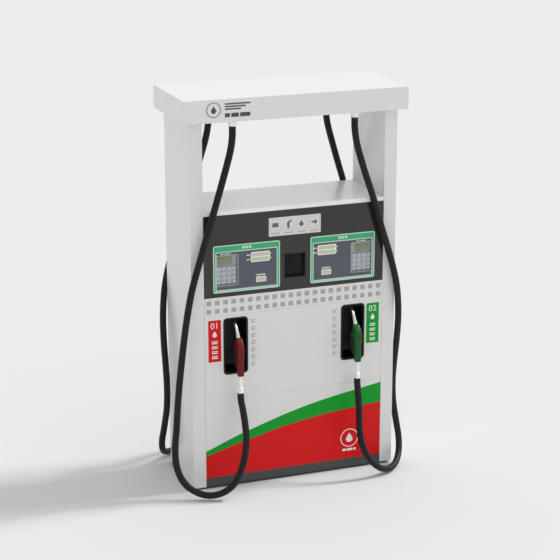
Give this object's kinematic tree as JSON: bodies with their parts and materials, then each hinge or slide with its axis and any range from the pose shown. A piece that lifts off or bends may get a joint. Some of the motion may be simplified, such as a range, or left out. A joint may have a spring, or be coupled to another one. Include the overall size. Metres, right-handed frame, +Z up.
{
  "type": "gas pump",
  "caption": "Free-standing double-sided fuel dispenser with a header box on two columns, display units, holstered nozzles and hanging hoses.",
  "frame": {"origin": "centre of the foot on the ground, midway between the columns and between the two faces", "axes": "+X to the right as seen from the front, -Y towards a person at the front, +Z up"},
  "size_m": [1.4976, 0.8642, 2.25],
  "materials": {
    "white_paint": "smooth powder coat",
    "dark_paint": "smooth powder coat",
    "foot_paint": "semi-matt paint",
    "holster_plastic": "moulded, fine grain",
    "display_plastic": "printed overlay",
    "key_metal": "brushed keys",
    "hose_rubber": "extruded rubber",
    "white_plastic": "moulded",
    "spout_metal": "polished",
    "trigger_metal": "coated",
    "sleeve_red": "moulded vinyl sleeve",
    "sleeve_green": "moulded vinyl sleeve",
    "pipe_steel": "zinc plated",
    "casting": "sand cast, painted grey",
    "motor_paint": "painted casting"
  },
  "bodies": {
    "root": {"header_box": "white_paint", "left_column": "white_paint", "right_column": "white_paint", "base_frame": "foot_paint", "cabinet_top": "white_paint", "motor": "motor_paint", "twin_pump": "casting", "drive_belt": "hose_rubber", "left_meter": "casting", "right_meter": "casting", "valve_block": "casting", "control_box": "pipe_steel", "front_display_panel": "dark_paint", "front_middle_panel": "white_paint", "front_left_display_unit": "display_plastic", "front_left_holster": "holster_plastic", "front_left_hose": "hose_rubber", "front_left_supply_pipe": "pipe_steel", "front_right_display_unit": "display_plastic", "front_right_holster": "holster_plastic", "front_right_hose": "hose_rubber", "front_right_supply_pipe": "pipe_steel", "rear_display_panel": "dark_paint", "rear_middle_panel": "white_paint", "rear_left_display_unit": "display_plastic", "rear_left_holster": "holster_plastic", "rear_left_hose": "hose_rubber", "rear_left_supply_pipe": "pipe_steel", "rear_right_display_unit": "display_plastic", "rear_right_holster": "holster_plastic", "rear_right_hose": "hose_rubber", "rear_right_supply_pipe": "pipe_steel"},
    "front_lower_panel": {"front_lower_panel": "white_paint"},
    "front_left_nozzle": {"front_left_nozzle_body": "sleeve_red", "front_left_spout": "spout_metal"},
    "front_left_trigger": {"front_left_trigger": "trigger_metal"},
    "front_left_swivel": {"front_left_swivel": "white_plastic"},
    "front_left_keypad": {"front_left_keypad": "key_metal"},
    "front_left_boot_lever": {"front_left_boot_lever": "holster_plastic"},
    "front_right_nozzle": {"front_right_nozzle_body": "sleeve_green", "front_right_spout": "spout_metal"},
    "front_right_trigger": {"front_right_trigger": "trigger_metal"},
    "front_right_swivel": {"front_right_swivel": "white_plastic"},
    "front_right_keypad": {"front_right_keypad": "key_metal"},
    "front_right_boot_lever": {"front_right_boot_lever": "holster_plastic"},
    "rear_lower_panel": {"rear_lower_panel": "white_paint"},
    "rear_left_nozzle": {"rear_left_nozzle_body": "sleeve_red", "rear_left_spout": "spout_metal"},
    "rear_left_trigger": {"rear_left_trigger": "trigger_metal"},
    "rear_left_swivel": {"rear_left_swivel": "white_plastic"},
    "rear_left_keypad": {"rear_left_keypad": "key_metal"},
    "rear_left_boot_lever": {"rear_left_boot_lever": "holster_plastic"},
    "rear_right_nozzle": {"rear_right_nozzle_body": "sleeve_green", "rear_right_spout": "spout_metal"},
    "rear_right_trigger": {"rear_right_trigger": "trigger_metal"},
    "rear_right_swivel": {"rear_right_swivel": "white_plastic"},
    "rear_right_keypad": {"rear_right_keypad": "key_metal"},
    "rear_right_boot_lever": {"rear_right_boot_lever": "holster_plastic"},
    "motor_pulley": {"motor_pulley": "casting"},
    "pump_pulley": {"pump_pulley": "casting"}
  },
  "joints": [
    {"name": "front_lower_panel_off", "type": "slide", "parent": "root", "child": "front_lower_panel", "axis": [0, -1, 0], "range_m": [0, 0.06]},
    {"name": "front_left_nozzle_out", "type": "slide", "parent": "root", "child": "front_left_nozzle", "axis": [0, -1, 0], "range_m": [0, 0.2], "deforming": ["front_left_hose"]},
    {"name": "front_left_trigger_squeeze", "type": "hinge", "parent": "front_left_nozzle", "child": "front_left_trigger", "pos_m": [-0.354, -0.268, 0.838], "axis": [-1, 0, 0], "range_deg": [0, 9], "stiffness_Nm_per_rad": 0.5, "springref_deg": -6.88},
    {"name": "front_left_swivel_turn", "type": "hinge", "parent": "front_left_nozzle", "child": "front_left_swivel", "pos_m": [-0.354, -0.304, 0.64], "axis": [0, 0, 1], "continuous": true},
    {"name": "front_left_keypad_press", "type": "slide", "parent": "root", "child": "front_left_keypad", "axis": [0, 1, 0], "range_m": [0, 0.0015], "stiffness_N_per_m": 900},
    {"name": "front_left_boot_lever_lift", "type": "hinge", "parent": "root", "child": "front_left_boot_lever", "pos_m": [-0.354, -0.1055, 0.768], "axis": [-1, 0, 0], "range_deg": [0, 45]},
    {"name": "front_right_nozzle_out", "type": "slide", "parent": "root", "child": "front_right_nozzle", "axis": [0, -1, 0], "range_m": [0, 0.2], "deforming": ["front_right_hose"]},
    {"name": "front_right_trigger_squeeze", "type": "hinge", "parent": "front_right_nozzle", "child": "front_right_trigger", "pos_m": [0.354, -0.268, 0.838], "axis": [-1, 0, 0], "range_deg": [0, 9], "stiffness_Nm_per_rad": 0.5, "springref_deg": -6.88},
    {"name": "front_right_swivel_turn", "type": "hinge", "parent": "front_right_nozzle", "child": "front_right_swivel", "pos_m": [0.354, -0.304, 0.64], "axis": [0, 0, 1], "continuous": true},
    {"name": "front_right_keypad_press", "type": "slide", "parent": "root", "child": "front_right_keypad", "axis": [0, 1, 0], "range_m": [0, 0.0015], "stiffness_N_per_m": 900},
    {"name": "front_right_boot_lever_lift", "type": "hinge", "parent": "root", "child": "front_right_boot_lever", "pos_m": [0.354, -0.1055, 0.768], "axis": [-1, 0, 0], "range_deg": [0, 45]},
    {"name": "rear_lower_panel_off", "type": "slide", "parent": "root", "child": "rear_lower_panel", "axis": [0, 1, 0], "range_m": [0, 0.06]},
    {"name": "rear_left_nozzle_out", "type": "slide", "parent": "root", "child": "rear_left_nozzle", "axis": [0, 1, 0], "range_m": [0, 0.2], "deforming": ["rear_left_hose"]},
    {"name": "rear_left_trigger_squeeze", "type": "hinge", "parent": "rear_left_nozzle", "child": "rear_left_trigger", "pos_m": [0.354, 0.268, 0.838], "axis": [1, 0, 0], "range_deg": [0, 9], "stiffness_Nm_per_rad": 0.5, "springref_deg": -6.88},
    {"name": "rear_left_swivel_turn", "type": "hinge", "parent": "rear_left_nozzle", "child": "rear_left_swivel", "pos_m": [0.354, 0.304, 0.64], "axis": [0, 0, 1], "continuous": true},
    {"name": "rear_left_keypad_press", "type": "slide", "parent": "root", "child": "rear_left_keypad", "axis": [0, -1, 0], "range_m": [0, 0.0015], "stiffness_N_per_m": 900},
    {"name": "rear_left_boot_lever_lift", "type": "hinge", "parent": "root", "child": "rear_left_boot_lever", "pos_m": [0.354, 0.1055, 0.768], "axis": [1, 0, 0], "range_deg": [0, 45]},
    {"name": "rear_right_nozzle_out", "type": "slide", "parent": "root", "child": "rear_right_nozzle", "axis": [0, 1, 0], "range_m": [0, 0.2], "deforming": ["rear_right_hose"]},
    {"name": "rear_right_trigger_squeeze", "type": "hinge", "parent": "rear_right_nozzle", "child": "rear_right_trigger", "pos_m": [-0.354, 0.268, 0.838], "axis": [1, 0, 0], "range_deg": [0, 9], "stiffness_Nm_per_rad": 0.5, "springref_deg": -6.88},
    {"name": "rear_right_swivel_turn", "type": "hinge", "parent": "rear_right_nozzle", "child": "rear_right_swivel", "pos_m": [-0.354, 0.304, 0.64], "axis": [0, 0, 1], "continuous": true},
    {"name": "rear_right_keypad_press", "type": "slide", "parent": "root", "child": "rear_right_keypad", "axis": [0, -1, 0], "range_m": [0, 0.0015], "stiffness_N_per_m": 900},
    {"name": "rear_right_boot_lever_lift", "type": "hinge", "parent": "root", "child": "rear_right_boot_lever", "pos_m": [-0.354, 0.1055, 0.768], "axis": [1, 0, 0], "range_deg": [0, 45]},
    {"name": "motor_turn", "type": "hinge", "parent": "root", "child": "motor_pulley", "pos_m": [0.17, -0.148, 0.15], "axis": [0, 1, 0], "continuous": true},
    {"name": "pump_turn", "type": "hinge", "parent": "root", "child": "pump_pulley", "pos_m": [-0.17, -0.148, 0.15], "axis": [0, 1, 0], "continuous": true}
  ],
  "couplings": [
    {"joint": "pump_turn", "follows": "motor_turn", "ratio": 0.52941}
  ]
}
